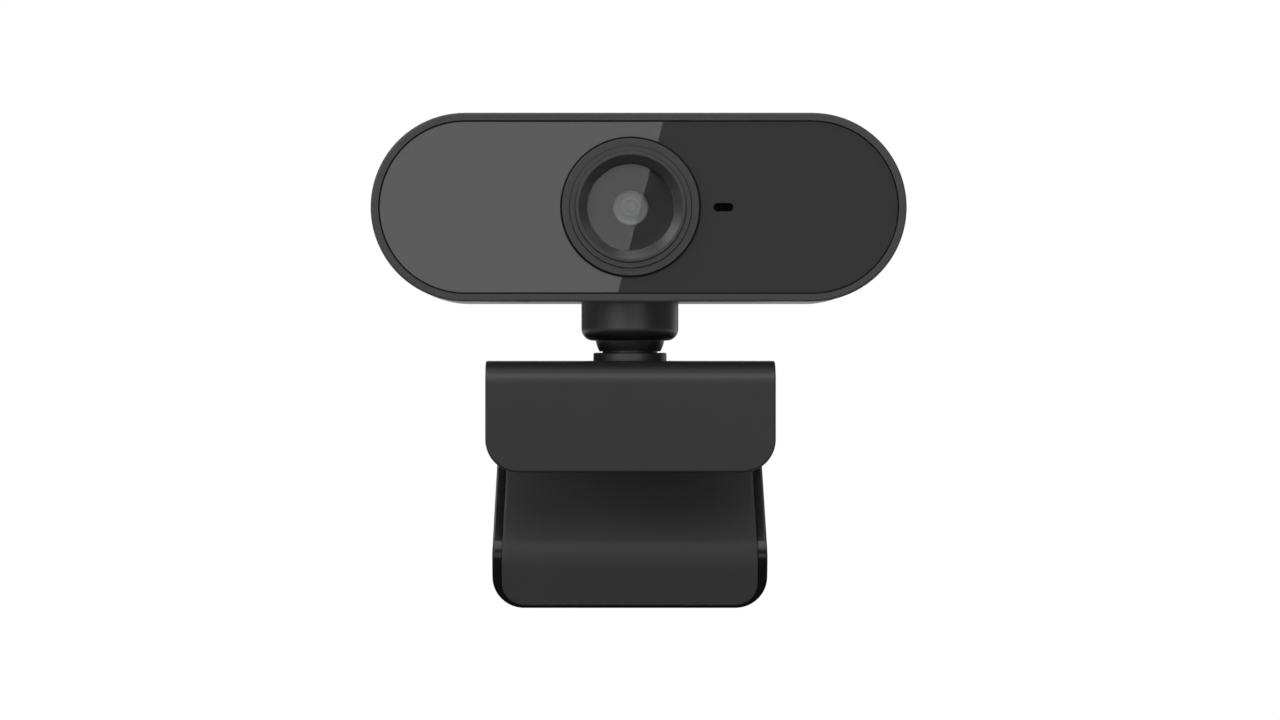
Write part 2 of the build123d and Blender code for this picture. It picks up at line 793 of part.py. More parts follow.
def clip_bracket():
    """The top plate, the front lip and the hinge barrel, in one moulding."""
    half = clip_width / 2
    profile = make_face(Polyline(
        (lip_y, lip_bottom), (lip_y, plate_top), (plate_back, plate_top),
        (plate_back, plate_underside), (lip_back_y, plate_underside),
        (lip_back_y, lip_bottom), close=True,
    ))
    body = across(profile, half)
    body = fillet(edges_along(body, Axis.X, Y=lip_y, Z=plate_top), lip_bend_radius)
    inner = edges_along(body, Axis.X, Y=lip_back_y, Z=plate_underside)
    body = fillet(inner, lip_inner_radius)
    body = fillet(edges_along(body, Axis.Y, Z=lip_bottom), lip_corner)
    body = fillet(edges_along(body, Axis.Z, Y=plate_back), plate_corner)
    body = fillet(rim_of(outer_skin(body)), lip_edge_radius)
    tongue = make_face(Polyline(
        (plate_back - plate_corner, plate_underside), (plate_back - plate_corner, plate_top),
        (hinge_back, plate_top), (hinge_back, plate_underside), close=True,
    ))
    barrel = Pos(hinge_back, hinge_z) * Circle(barrel_hinge_radius)
    body += across(tongue, barrel_half)
    body += across(barrel, barrel_half)
    bore = Pos(hinge_back, hinge_z) * Circle(pin_radius + pin_clearance)
    body -= across(bore, barrel_half + past)
    body -= layer(Circle(collar_radius + collar_gap), plate_top - collar_recess, plate_top + past)
    body -= layer(Circle(spindle_radius + swivel_gap), plate_underside - past, plate_top + past)
    recess = Circle(washer_radius + washer_gap)
    return body - layer(recess, plate_underside - past, plate_top - plate_shelf())


def top_pad():
    """The soft sheet under the top plate."""
    front = lip_back_y + pad_thickness + pad_gap
    middle = (front + top_pad_back) / 2
    sheet = Pos(0, middle) * RectangleRounded(top_pad_width, top_pad_back - front, pad_corner)
    return layer(sheet, 0, pad_thickness)


def lip_pad():
    """The soft sheet behind the lip."""
    middle = lip_bottom + lip_pad_inset + lip_pad_height / 2
    sheet = Pos(0, middle) * RectangleRounded(lip_pad_width, lip_pad_height, pad_corner)
    return slab(sheet, lip_back_y, lip_back_y + pad_thickness)


def hinge_pin():
    pin = across(Pos(hinge_back, hinge_z) * Circle(pin_radius), ear_outer - pin_recess)
    return chamfer(pin.edges().filter_by(GeomType.CIRCLE), pin_bevel)


# ---------------------------------------------------------------- leg
def leg_strip(start, low, high):
    """The leg's side profile between two depths from the middle of its thickness.

    It starts the given distance along the arm, goes round the knee and runs past the foot.
    Depths are positive towards the front."""
    arm = (knee_y - hinge_back, knee_z - hinge_z)
    arm = (arm[0] / hypot(*arm), arm[1] / hypot(*arm))
    foot = (sin(radians(foot_lean)), -cos(radians(foot_lean)))
    run = foot_drop + 2 * leg_thickness
    top = (hinge_back + start * arm[0], hinge_z + start * arm[1])
    end = (knee_y + run * foot[0], knee_z + run * foot[1])
    arm_front = (arm[1], -arm[0])
    foot_front = (foot[1], -foot[0])
    dot = arm_front[0] * foot_front[0] + arm_front[1] * foot_front[1]
    mitre = [(a + b) / (1 + dot) for a, b in zip(arm_front, foot_front)]

    def side(depth):
        return (
            (top[0] + depth * arm_front[0], top[1] + depth * arm_front[1]),
            (knee_y + depth * mitre[0], knee_z + depth * mitre[1]),
            (end[0] + depth * foot_front[0], end[1] + depth * foot_front[1]),
        )

    front, rear = side(high), side(low)
    edges = FilletPolyline(*front, radius=knee_bend + high)
    edges += FilletPolyline(*rear, radius=knee_bend + low)
    edges += Line(front[0], rear[0])
    edges += Line(front[2], rear[2])
    return make_face(edges)


def leg_outline(inset, bottom_inset, corner, top):
    """The leg's front view: it widens from the hinge to the knee, with round lower corners."""
    narrow, wide = ear_outer - inset, leg_knee_width / 2 - inset
    low = leg_bottom + bottom_inset
    slope = (leg_knee_width - leg_top_width) / 2 / knee_drop
    upper = narrow - slope * (top - hinge_z)
    outline = make_face(Polyline(
        (-upper, top), (upper, top), (wide, knee_z), (wide, low), (-wide, low), (-wide, knee_z),
        close=True,
    ))
    return fillet(outline.vertices().sort_by(Axis.Y)[0:2], corner)


def leg_pad_solid(clearance, proud):
    """The soft pad's body, grown by a clearance to cut its pocket."""
    half = leg_thickness / 2
    strip = leg_strip(leg_pad_start - clearance, half - leg_pad_depth - clearance, half + proud)
    outline = leg_outline(
        leg_rim - clearance, leg_bottom_rim - clearance, leg_corner - leg_rim + clearance, hinge_z
    )
    return across(strip, clip_width) & slab(outline, -3 * head_depth, 3 * head_depth)


def clip_leg():
    """The moulded leg: ears on the hinge pin, a tray for the pad, a knee and a foot."""
    half = leg_thickness / 2
    strip = leg_strip(barrel_hinge_radius + arm_clearance, -half, half)
    outline = leg_outline(0, 0, leg_corner, hinge_z + barrel_hinge_radius)
    body = across(strip, clip_width) & slab(outline, -3 * head_depth, 3 * head_depth)
    front = [face for face in body.faces() if face.normal_at().Y < -facing]
    rear = [face for face in body.faces() if face.normal_at().Y > facing]
    body = fillet(rim_of(front) + rim_of(rear), leg_edge_radius)
    arm_angle = degrees(atan2(knee_z - hinge_z, knee_y - hinge_back))
    end = Pos(hinge_back, hinge_z) * Rot(0, 0, arm_angle) * Pos(ear_reach, 0) * Circle(half)
    ear = make_hull((Pos(hinge_back, hinge_z) * Circle(barrel_hinge_radius)).edges() + end.edges())
    ears = across(ear, ear_outer) - across(ear, ear_inner)
    body += ears
    body -= leg_pad_solid(leg_pad_gap, past)
    bore = Pos(hinge_back, hinge_z) * Circle(pin_radius + pin_clearance)
    return body - across(bore, clip_width)


def leg_pad():
    return leg_pad_solid(0, leg_pad_proud)


# ---------------------------------------------------------------- write the sub-parts
os.makedirs("parts", exist_ok=True)
PARTS = {
    "front_frame": front_frame,
    "rear_housing": rear_housing,
    "front_panel": front_panel,
    "panel_tape": panel_tape,
    "housing_screws": housing_screws,
    "cable_grommet": cable_grommet,
    "lens_trim_ring": lens_trim_ring,
    "lens_cover_glass": lens_cover_glass,
    "lens_mask": lens_mask,
    "lens_barrel": lens_barrel,
    "front_lens_element": front_lens_element,
    "rear_lens_element": rear_lens_element,
    "lens_holder": lens_holder,
    "lens_holder_screws": lens_holder_screws,
    "infrared_filter": infrared_filter,
    "image_sensor": image_sensor,
    "main_board": main_board,
    "board_screws": board_screws,
    "usb_controller_chip": usb_controller_chip,
    "board_parts": board_parts,
    "usb_header": usb_header,
    "microphone": microphone,
    "mic_gasket": mic_gasket,
    "neck_cup": neck_cup,
    "neck_retainer": neck_retainer,
    "retainer_screws": retainer_screws,
    "ball_seat": ball_seat,
    "ball_stud": ball_stud,
    "swivel_washer": swivel_washer,
    "stud_screw": stud_screw_solid,
    "clip_bracket": clip_bracket,
    "top_pad": top_pad,
    "lip_pad": lip_pad,
    "hinge_pin": hinge_pin,
    "clip_leg": clip_leg,
    "leg_pad": leg_pad,
}
for part_name, make in PARTS.items():
    save(part_name, make())
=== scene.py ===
import math

import bmesh
import bpy
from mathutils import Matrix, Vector


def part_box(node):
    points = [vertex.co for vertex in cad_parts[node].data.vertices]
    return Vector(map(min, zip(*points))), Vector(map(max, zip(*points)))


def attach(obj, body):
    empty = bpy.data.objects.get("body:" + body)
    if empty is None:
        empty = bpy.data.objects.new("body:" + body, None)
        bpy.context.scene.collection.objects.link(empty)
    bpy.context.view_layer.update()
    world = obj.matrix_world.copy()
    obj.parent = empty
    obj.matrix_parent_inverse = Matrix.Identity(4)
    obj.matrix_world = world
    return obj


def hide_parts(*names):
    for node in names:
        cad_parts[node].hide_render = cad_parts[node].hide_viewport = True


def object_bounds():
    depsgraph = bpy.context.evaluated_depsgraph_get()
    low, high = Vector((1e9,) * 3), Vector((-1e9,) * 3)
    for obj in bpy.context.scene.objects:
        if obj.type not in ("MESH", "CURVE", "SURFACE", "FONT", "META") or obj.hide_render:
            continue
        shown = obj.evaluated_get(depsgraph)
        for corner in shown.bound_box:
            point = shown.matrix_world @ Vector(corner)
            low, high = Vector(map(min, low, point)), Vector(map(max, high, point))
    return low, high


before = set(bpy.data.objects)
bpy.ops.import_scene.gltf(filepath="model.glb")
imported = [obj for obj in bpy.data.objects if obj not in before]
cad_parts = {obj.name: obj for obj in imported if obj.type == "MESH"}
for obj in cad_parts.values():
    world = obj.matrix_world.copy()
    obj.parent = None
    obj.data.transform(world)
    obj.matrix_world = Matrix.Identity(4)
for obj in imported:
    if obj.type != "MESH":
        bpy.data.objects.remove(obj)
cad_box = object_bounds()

# A clip-on webcam in a plain white studio: moulded black plastics, a polished front panel,
# a stepped lens ring round flat glass, and soft pads on a folding clip.

MM = 0.001                      # the scene is in metres

# ---------------------------------------------------------------- the view
CAMERA_DISTANCE = 500 * MM      # from the rim's front face
CAMERA_X = -4.0 * MM            # left of the neck's axis
CAMERA_Z = 3.0 * MM             # just under the top of the clip's plate
FRAME_WIDTH = 190.88 * MM       # what the picture is wide, in the plane of that face
FRAME_X = 1.40 * MM             # the picture's middle in that plane
FRAME_Z = 4.70 * MM
SENSOR_WIDTH = 36.0             # mm
NEAREST_SEEN = 10 * MM
FARTHEST_SEEN = 20.0


def place(node_name):
    """A CAD node's lowest and highest corners as vectors."""
    low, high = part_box(node_name)
    return Vector(low), Vector(high)


rim_y = place("front_frame")[0].y
lens_low, lens_high = place("lens_trim_ring")
lens_centre = (lens_low + lens_high) / 2
part_low = Vector(cad_box[0])
part_high = Vector(cad_box[1])


def make_camera():
    """A level camera with a long lens, shifted so that upright edges stay upright."""
    data = bpy.data.cameras.new("camera")
    data.sensor_width = SENSOR_WIDTH
    data.lens = SENSOR_WIDTH * CAMERA_DISTANCE / FRAME_WIDTH
    data.shift_x = (FRAME_X - CAMERA_X) / FRAME_WIDTH
    data.shift_y = (FRAME_Z - CAMERA_Z) / FRAME_WIDTH
    data.clip_start = NEAREST_SEEN
    data.clip_end = FARTHEST_SEEN
    camera = bpy.data.objects.new("camera", data)
    camera.location = (CAMERA_X, rim_y - CAMERA_DISTANCE, CAMERA_Z)
    camera.rotation_euler = (math.radians(90), 0, 0)
    bpy.context.scene.collection.objects.link(camera)
    bpy.context.scene.camera = camera


make_camera()
bpy.context.scene.view_settings.view_transform = "Standard"


# ---------------------------------------------------------------- material tools
def colour(hex_text, alpha=1.0):
    """The linear colour of an sRGB hex value."""
    channels = [int(hex_text[i : i + 2], 16) / 255 for i in (1, 3, 5)]
    linear = [c / 12.92 if c <= 0.04045 else ((c + 0.055) / 1.055) ** 2.4 for c in channels]
    return (*linear, alpha)


def per_mm(size_mm):
    """The scale that a texture on Object coordinates needs for features of that size."""
    return 1 / (size_mm * MM)


def add(tree, kind, settings=None, inputs=None):
    """One more node in the tree. An input that is a socket is linked, and others are set."""
    made = tree.nodes.new(kind)
    for name, value in (settings or {}).items():
        setattr(made, name, value)
    for name, value in (inputs or {}).items():
        socket = made.inputs[name]
        if isinstance(value, bpy.types.NodeSocket):
            tree.links.new(value, socket)
        else:
            socket.default_value = value
    return made


def new_material(name):
    """An empty material, its tree and its output node."""
    made = bpy.data.materials.new(name)
    made.use_nodes = True
    tree = made.node_tree
    tree.nodes.clear()
    return made, tree, tree.nodes.new("ShaderNodeOutputMaterial")


# ---------------------------------------------------------------- materials
FLOW_MM = 9.0                   # how wide the faint clouds in a moulding's colour are
GRAIN_LOW = 0.3                 # most of a noise lies between these two values
GRAIN_HIGH = 0.7
PLASTIC_IOR = 1.5
WAVES_PER_SCALE = 3.0           # a wave texture of scale 1 has about this many rings per unit
RING_WANDER = 0.4               # how far a lathe's rings stray from true
TRACK_MM = 0.4                  # width of the board's copper tracks
TRACKS_PER_BRICK = 10
TRACK_HEIGHT_MM = 0.03


def surface(tree, out, settings):
    """A Principled surface with its settings, joined to the material's output."""
    shader = add(tree, "ShaderNodeBsdfPrincipled", None, settings)
    tree.links.new(shader.outputs["BSDF"], out.inputs["Surface"])
    return shader


def moulded(name, base, light, grain_mm, grain_height_mm, roughness, swing, specular=0.5):
    """A moulding: fine grain that breaks up the gloss, and faint flow shade in the colour.

    The finest grains are drawn a little coarser than real ones, so that they show."""
    made, tree, out = new_material(name)
    coords = add(tree, "ShaderNodeTexCoord").outputs["Object"]
    flow = add(tree, "ShaderNodeTexNoise", None, {
        "Vector": coords, "Scale": per_mm(FLOW_MM), "Detail": 3.0,
    })
    grain = add(tree, "ShaderNodeTexNoise", None, {
        "Vector": coords, "Scale": per_mm(grain_mm), "Detail": 2.0,
    })
    shade = add(tree, "ShaderNodeMix", {"data_type": "RGBA"}, {
        0: flow.outputs["Fac"], 6: colour(base), 7: colour(light),
    })
    gloss = add(tree, "ShaderNodeMapRange", None, {
        "Value": grain.outputs["Fac"], "From Min": GRAIN_LOW, "From Max": GRAIN_HIGH,
        "To Min": roughness - swing, "To Max": roughness + swing,
    })
    bump = add(tree, "ShaderNodeBump", None, {
        "Height": grain.outputs["Fac"], "Distance": grain_height_mm * MM, "Strength": 1.0,
    })
    surface(tree, out, {
        "Base Color": shade.outputs[2], "Roughness": gloss.outputs["Result"],
        "Normal": bump.outputs["Normal"], "IOR": PLASTIC_IOR, "Specular IOR Level": specular,
    })
    return made


def ringed(name, base, light, centre, ring_mm, ring_height_mm, roughness, swing, metallic):
    """A surface cut on a lathe or anodised after it: fine rings about a line along Y.

    Real rings are finer still, and these are as coarse as they need to be to show."""
    made, tree, out = new_material(name)
    coords = add(tree, "ShaderNodeTexCoord").outputs["Object"]
    centred = add(tree, "ShaderNodeMapping", None, {"Vector": coords, "Location": -centre})
    rings = add(tree, "ShaderNodeTexWave", {"wave_type": "RINGS", "rings_direction": "Y"}, {
        "Vector": centred.outputs["Vector"], "Scale": per_mm(ring_mm) / WAVES_PER_SCALE,
        "Distortion": RING_WANDER, "Detail": 2.0,
    })
    shade = add(tree, "ShaderNodeMix", {"data_type": "RGBA"}, {
        0: rings.outputs["Fac"], 6: colour(base), 7: colour(light),
    })
    gloss = add(tree, "ShaderNodeMapRange", None, {
        "Value": rings.outputs["Fac"], "To Min": roughness - swing, "To Max": roughness + swing,
    })
    bump = add(tree, "ShaderNodeBump", None, {
        "Height": rings.outputs["Fac"], "Distance": ring_height_mm * MM, "Strength": 1.0,
    })
    surface(tree, out, {
        "Base Color": shade.outputs[2], "Roughness": gloss.outputs["Result"],
        "Normal": bump.outputs["Normal"], "Metallic": metallic,
    })
    return made


def celled(name, base, light, cell_mm, cell_height_mm, roughness):
    """Closed foam or fired grit: small rounded cells, each a little lighter or darker."""
    made, tree, out = new_material(name)
    coords = add(tree, "ShaderNodeTexCoord").outputs["Object"]
    cells = add(tree, "ShaderNodeTexVoronoi", None, {"Vector": coords, "Scale": per_mm(cell_mm)})
    shade = add(tree, "ShaderNodeMix", {"data_type": "RGBA"}, {
        0: cells.outputs["Distance"], 6: colour(base), 7: colour(light),
    })
    bump = add(tree, "ShaderNodeBump", None, {
        "Height": cells.outputs["Distance"], "Distance": cell_height_mm * MM, "Strength": 1.0,
    })
    surface(tree, out, {
        "Base Color": shade.outputs[2], "Roughness": roughness, "Normal": bump.outputs["Normal"],
    })
    return made


def traced_board(name, resist, over_copper):
    """Green resist on laminate: copper tracks show through it as paler, raised lines."""
    made, tree, out = new_material(name)
    coords = add(tree, "ShaderNodeTexCoord").outputs["Object"]
    turned_flat = add(tree, "ShaderNodeMapping", None, {
        "Vector": coords, "Rotation": (math.radians(90), 0, 0),
    })
    tracks = add(tree, "ShaderNodeTexBrick", {"offset": 0.35, "squash": 1.6}, {
        "Vector": turned_flat.outputs["Vector"], "Scale": per_mm(TRACK_MM * TRACKS_PER_BRICK),
        "Mortar Size": 0.03, "Mortar Smooth": 0.3,
    })
    shade = add(tree, "ShaderNodeMix", {"data_type": "RGBA"}, {
        0: tracks.outputs["Fac"], 6: colour(resist), 7: colour(over_copper),
    })
    bump = add(tree, "ShaderNodeBump", None, {
        "Height": tracks.outputs["Fac"], "Distance": TRACK_HEIGHT_MM * MM, "Strength": 1.0,
    })
    surface(tree, out, {
        "Base Color": shade.outputs[2], "Roughness": 0.3, "Normal": bump.outputs["Normal"],
    })
    return made


def clear_glass(name, tint, index):
    """Glass that tints what is behind it; light that passes it keeps its way."""
    made, tree, out = new_material(name)
    shader = add(tree, "ShaderNodeBsdfPrincipled", None, {
        "Base Color": colour(tint), "Roughness": 0.0, "IOR": index, "Transmission Weight": 1.0,
    })
    open_air = add(tree, "ShaderNodeBsdfTransparent", None, {"Color": colour(tint)})
    path = add(tree, "ShaderNodeLightPath")
    mixed = add(tree, "ShaderNodeMixShader", None, {
        0: path.outputs["Is Shadow Ray"], 1: shader.outputs["BSDF"], 2: open_air.outputs["BSDF"],
    })
    tree.links.new(mixed.outputs["Shader"], out.inputs["Surface"])
    return made


# ABS, moulded in a spark-eroded tool: satin, and grained just enough to soften a highlight.
housing_abs = moulded("moulded_abs_housing", "#393939", "#3d3d3d", 0.14, 0.003, 0.4, 0.05, 0.26)
# The same ABS with more black in it: darker, and with a fuller sheen.
clip_abs = moulded("moulded_abs_clip", "#1f1f1f", "#232323", 0.14, 0.003, 0.4, 0.04, 0.51)
# ABS, finely blasted: an even satin on which each turned step reads.
trim_abs = moulded("satin_abs_trim", "#272727", "#2a2a2a", 0.1, 0.002, 0.4, 0.04, 0.6)
# ABS from a polished tool: deep black with sharp lights on its edges.
leg_abs = moulded("polished_abs_leg", "#0f0f0f", "#131313", 0.3, 0.001, 0.17, 0.02, 0.45)
# Nylon, moulded and tumbled: black with a soft gloss that runs round the neck.
neck_nylon = moulded("tumbled_nylon_neck", "#090909", "#0c0c0c", 0.14, 0.002, 0.4, 0.04, 1.0)
# Silicone rubber, moulded matt: dull, with no sharp light anywhere.
pad_silicone = moulded("matt_silicone_pad", "#323232", "#363636", 0.2, 0.006, 0.45, 0.05, 0.2)
# Neoprene, moulded: dull black with a slight bloom.
bush_rubber = moulded("moulded_neoprene_bush", "#161616", "#1c1c1c", 0.2, 0.005, 0.7, 0.06, 0.3)
# Acrylic, hard-coated, polished and printed black behind: a clean mirror over dark grey.
panel_acrylic = moulded(
    "polished_acrylic_panel", "#373737", "#383838", 2.0, 0.00005, 0.01, 0.002, 1.0
)
# Screen-printed black ink: an even dark grey behind the glass.
mask_ink = moulded("printed_ink_mask", "#4f4f4f", "#515151", 0.12, 0.0004, 0.7, 0.05, 0.1)
# Polycarbonate, moulded black: the holder's faint sheen.
holder_pc = moulded("moulded_pc_holder", "#141414", "#1a1a1a", 0.12, 0.003, 0.45, 0.06)
# Nylon, natural: ivory and slightly waxy.
header_nylon = moulded("natural_nylon_header", "#d9d4c6", "#e0dccf", 0.15, 0.003, 0.4, 0.05)
# Nylon, black: the retainer is left as moulded.
retainer_nylon = moulded("black_nylon_retainer", "#151515", "#1b1b1b", 0.15, 0.004, 0.5, 0.06)
# Acetal, moulded: white and slippery, with a low even sheen.
seat_acetal = moulded("moulded_acetal_seat", "#d6d6d2", "#dededa", 0.2, 0.001, 0.35, 0.04)
# Epoxy moulding compound: charcoal, finely pitted.
chip_epoxy = moulded("pitted_epoxy_chip", "#1b1b1c", "#232324", 0.08, 0.004, 0.55, 0.08)
# Silicon under a ceramic frame's window: dark blue-grey and glossy.
sensor_silicon = moulded("polished_silicon_sensor", "#2e3a52", "#3b4a66", 0.5, 0.0001, 0.08, 0.02)
# Interference-coated filter glass: pale green with a smooth gloss.
filter_coated = moulded("coated_filter_glass", "#9fc4b4", "#a8ccbc", 1.5, 0.0001, 0.05, 0.01)
# Barium titanate and a tinned can: tan ceramic, grainy at the cut ends.
parts_ceramic = celled("fired_ceramic_parts", "#b8a080", "#9c8566", 0.12, 0.01, 0.5)
# Acrylic foam tape, cut: dull black with tiny open cells on its edge.
tape_foam = celled("cut_foam_tape", "#0e0e0e", "#1a1a1a", 0.18, 0.02, 0.9)
# Glass-epoxy laminate under resist: green, with the tracks a shade paler.
board_resist = traced_board("resist_coated_board", "#0c3d1e", "#17592e")
# Float glass with a thin tint: it mirrors as sharply as the panel, and less of the room.
cover_glass = clear_glass("tinted_cover_glass", "#dedede", 1.51)
# Optical glass, coated: almost clear.
inner_glass = clear_glass("coated_inner_lens", "#eceef4", 1.4)
# Aluminium, turned and anodised black: fine rings, dull grey.
barrel_anodised = ringed(
    "anodised_aluminium_barrel", "#2c2c2d", "#3a3a3b", lens_centre, 0.25, 0.004, 0.4, 0.06, 0.0
)
# A lens face behind many coats: it looks milky, in faint rings, and it mirrors the room. The milky
# light grey and its pale rings are painted reflection of the coats.
lens_painted_reflection = ringed(
    "lens_face_painted_reflection", "#959697", "#9d9e9f", lens_centre, 0.9, 0.0, 0.06, 0.01, 0.0
)
# Steel, cold-headed and zinc plated: bright, with turned rings on each head.
screw_zinc = ringed(
    "zinc_plated_steel_screw", "#8c8c8e", "#a2a2a4", lens_centre, 0.3, 0.002, 0.35, 0.07, 1.0
)
# Steel, centreless ground: the pin's ends and the spring washer.
pin_steel = ringed(
    "ground_steel_pin", "#7f8082", "#959698", lens_centre, 0.22, 0.002, 0.28, 0.05, 1.0
)
# Steel, deep-drawn and nickel plated: the microphone's warm grey can.
can_nickel = ringed(
    "nickel_plated_can", "#9a958a", "#aba69b", lens_centre, 0.4, 0.001, 0.3, 0.05, 1.0
)

FINISHES = {
    "front_frame": housing_abs,
    "rear_housing": housing_abs,
    "front_panel": panel_acrylic,
    "panel_tape": tape_foam,
    "housing_screws": screw_zinc,
    "cable_grommet": bush_rubber,
    "lens_trim_ring": trim_abs,
    "lens_cover_glass": cover_glass,
    "lens_mask": mask_ink,
    "lens_barrel": barrel_anodised,
    "front_lens_element": lens_painted_reflection,
    "rear_lens_element": inner_glass,
    "lens_holder": holder_pc,
    "lens_holder_screws": screw_zinc,
    "infrared_filter": filter_coated,
    "image_sensor": sensor_silicon,
    "main_board": board_resist,
    "board_screws": screw_zinc,
    "usb_controller_chip": chip_epoxy,
    "board_parts": parts_ceramic,
    "usb_header": header_nylon,
    "microphone": can_nickel,
    "mic_gasket": bush_rubber,
    "neck_cup": neck_nylon,
    "neck_retainer": retainer_nylon,
    "retainer_screws": screw_zinc,
    "ball_seat": seat_acetal,
    "ball_stud": neck_nylon,
    "swivel_washer": pin_steel,
    "stud_screw": screw_zinc,
    "clip_bracket": clip_abs,
    "top_pad": pad_silicone,
    "lip_pad": pad_silicone,
    "hinge_pin": pin_steel,
    "clip_leg": leg_abs,
    "leg_pad": pad_silicone,
}
for node_name, finish in FINISHES.items():
    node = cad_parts[node_name]
    node.data.materials.clear()
    node.data.materials.append(finish)


# ---------------------------------------------------------------- modelling tools
MERGE_DISTANCE = 0.002 * MM
POLE_RADIUS = 0.0005            # mm: a ring this small is merged into one point
SMOOTH_DEGREES = 35.0
TURNED_SIDES = 96


def deselect():
    """Let go of every object, because operators act on all that is selected."""
    bpy.ops.object.select_all(action="DESELECT")


def close_up():
    """On the active piece, merge doubles, turn all faces outwards and smooth the flat angles."""
    bpy.ops.object.mode_set(mode="EDIT")
    bpy.ops.mesh.select_all(action="SELECT")
    bpy.ops.mesh.remove_doubles(threshold=MERGE_DISTANCE)
    bpy.ops.mesh.normals_make_consistent(inside=False)
    bpy.ops.object.mode_set(mode="OBJECT")
    bpy.ops.object.shade_smooth_by_angle(angle=math.radians(SMOOTH_DEGREES))
    bpy.ops.object.transform_apply(location=True, rotation=True, scale=True)


def turned(name, centre, profile, closed):
    """A piece turned about a line along Y: a circle, extruded and resized from point to point.

    The profile is a list of (radius, depth) in mm, and depths run back from the centre."""
    deselect()
    radius, depth = profile[0]
    bpy.ops.mesh.primitive_circle_add(
        vertices=TURNED_SIDES, radius=max(radius, POLE_RADIUS) * MM, fill_type="NOTHING",
        location=centre + Vector((0, depth * MM, 0)), rotation=(math.radians(90), 0, 0),
    )
    piece = bpy.context.object
    piece.name = name
    bpy.ops.object.transform_apply(location=True, rotation=True, scale=True)
    bpy.ops.object.mode_set(mode="EDIT")
    bpy.ops.mesh.select_all(action="SELECT")
    steps = list(profile[1:]) + ([profile[0]] if closed else [])
    for next_radius, next_depth in steps:
        bpy.ops.mesh.extrude_region_move(
            TRANSFORM_OT_translate={"value": (0, (next_depth - depth) * MM, 0)}
        )
        share = max(next_radius, POLE_RADIUS) / max(radius, POLE_RADIUS)
        bpy.ops.transform.resize(value=(share, 1, share), center_override=centre)
        radius, depth = next_radius, next_depth
    bpy.ops.object.mode_set(mode="OBJECT")
    close_up()
    return piece


def finish_piece(piece, body, slot_name, finish, *stands_for):
    """The piece's material, its body and the nodes it stands for. The slot name is not used."""
    piece.data.materials.clear()
    piece.data.materials.append(finish)
    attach(piece, body)
    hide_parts(*stands_for)


# ---------------------------------------------------------------- soft pieces
PAD_VOXEL_MM = 0.22
PAD_SMOOTHING_ROUNDS = 4
PAD_SMOOTHING_STEP = 0.5
PAD_CROWN_MM = 0.05
FACE_SHARE = 0.5                # a point is on the face if its normal has this much of outward
CROWN_SHARE = 0.15              # of the half width, over which the crown rises


def soft_pad(node_name, outward):
    """A moulded silicone pad: the pad's own block, its edges softened and its face crowned.

    The face is the side that looks outward. It swells a little away from the pad's edge."""
    deselect()
    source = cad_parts[node_name]
    piece = bpy.data.objects.new("soft_" + node_name, source.data.copy())
    bpy.context.scene.collection.objects.link(piece)
    bpy.context.view_layer.objects.active = piece
    piece.select_set(True)
    bpy.ops.object.mode_set(mode="EDIT")
    bpy.ops.mesh.select_all(action="SELECT")
    bpy.ops.mesh.remove_doubles(threshold=MERGE_DISTANCE)
    bpy.ops.object.mode_set(mode="OBJECT")
    blocks = piece.modifiers.new("even_mesh", "REMESH")
    blocks.mode = "VOXEL"
    blocks.voxel_size = PAD_VOXEL_MM * MM
    bpy.ops.object.modifier_apply(modifier=blocks.name)
    soften = piece.modifiers.new("soft_edges", "SMOOTH")
    soften.factor = PAD_SMOOTHING_STEP
    soften.iterations = PAD_SMOOTHING_ROUNDS
    bpy.ops.object.modifier_apply(modifier=soften.name)
    crown_face(piece, Vector(outward).normalized())
    bpy.ops.object.shade_smooth()
    return piece


def crown_face(piece, outward):
    """Lift the points of the outward face by how far they are from the pad's rim."""
    low, high = Vector(piece.bound_box[0]), Vector(piece.bound_box[6])
    middle_x, half_width = (low.x + high.x) / 2, (high.x - low.x) / 2
    along = Vector((0, -outward.z, outward.y))
    places = [vertex.co.dot(along) for vertex in piece.data.vertices]
    normals = [vertex.normal.copy() for vertex in piece.data.vertices]
    start, end = min(places), max(places)
    for vertex, normal, place_along in zip(piece.data.vertices, normals, places):
        if normal.dot(outward) < FACE_SHARE:
            continue
        across = 1 - abs(vertex.co.x - middle_x) / half_width
        length = 1 - abs(2 * (place_along - start) / (end - start) - 1)
        rise = min(1, across / CROWN_SHARE) * min(1, length / CROWN_SHARE)
        vertex.co += normal * (PAD_CROWN_MM * MM * math.sin(rise * math.pi / 2))


# ---------------------------------------------------------------- pieces
def make_pads():
    """The three silicone pads of the clip: one on the leg, one under the plate, one on the lip."""
    pads = (
        ("leg_pad", "leg", (0, -1, 0)),
        ("top_pad", "clip", (0, 0, -1)),
        ("lip_pad", "clip", (0, 1, 0)),
    )
    for node_name, body, outward in pads:
        pad = soft_pad(node_name, outward)
        finish_piece(pad, body, "pad_rubber", pad_silicone, node_name)


def make_grommet():
    """The rubber bush in the back wall: a bead each side and a waist in the wall's hole."""
    low, high = place("cable_grommet")
    centre = Vector(((low.x + high.x) / 2, low.y, (low.z + high.z) / 2))
    profile = [
        (1.75, 0.25), (2.0, 0.0), (3.4, 0.0), (3.63, 0.1), (3.7, 0.35), (3.7, 0.85),
        (3.6, 1.03), (3.4, 1.1), (2.8, 1.1), (2.8, 2.7), (3.4, 2.7), (3.63, 2.78),
        (3.7, 3.0), (3.66, 3.3), (3.5, 3.58), (3.2, 3.75), (2.85, 3.8), (2.6, 3.74),
        (2.45, 3.66), (2.25, 3.72), (2.05, 3.7), (1.85, 3.6), (1.75, 3.4),
    ]
    grommet = turned("rubber_grommet", centre, profile, closed=True)
    finish_piece(grommet, "head", "grommet_rubber", bush_rubber, "cable_grommet")


